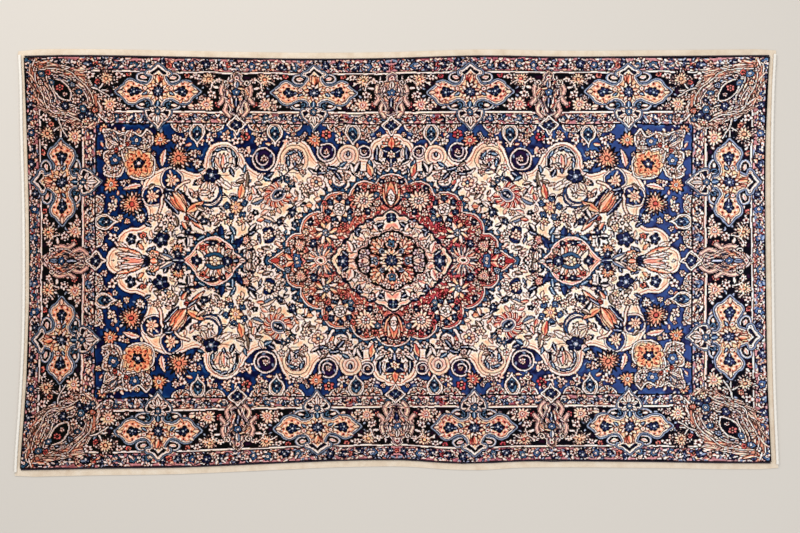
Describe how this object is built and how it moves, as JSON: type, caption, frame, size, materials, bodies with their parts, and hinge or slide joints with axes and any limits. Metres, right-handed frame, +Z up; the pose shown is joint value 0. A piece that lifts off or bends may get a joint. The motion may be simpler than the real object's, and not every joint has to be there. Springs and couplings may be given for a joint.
{
  "type": "persian rug",
  "caption": "Flat knotted wool rug with a floral medallion, overcast sides and a cream cloth margin with white end cords.",
  "frame": {"origin": "on the floor, under the middle of the box round the whole rug", "axes": "+X along the rug's length, to the right in the picture; +Y to its far long side; +Z up, out of the pile"},
  "size_m": [2.3014, 1.2874, 0.0095],
  "materials": {
    "wool_pile": "matt",
    "dark_wool": "matt",
    "cream_cotton": "matt",
    "white_cotton": "matt"
  },
  "bodies": {
    "root": {"knotted_pile": "wool_pile", "margin_cloth": "cream_cotton", "side_cord_near": "dark_wool", "side_cord_far": "dark_wool", "end_cord_left": "white_cotton", "end_cord_right": "white_cotton"}
  },
  "joints": []
}
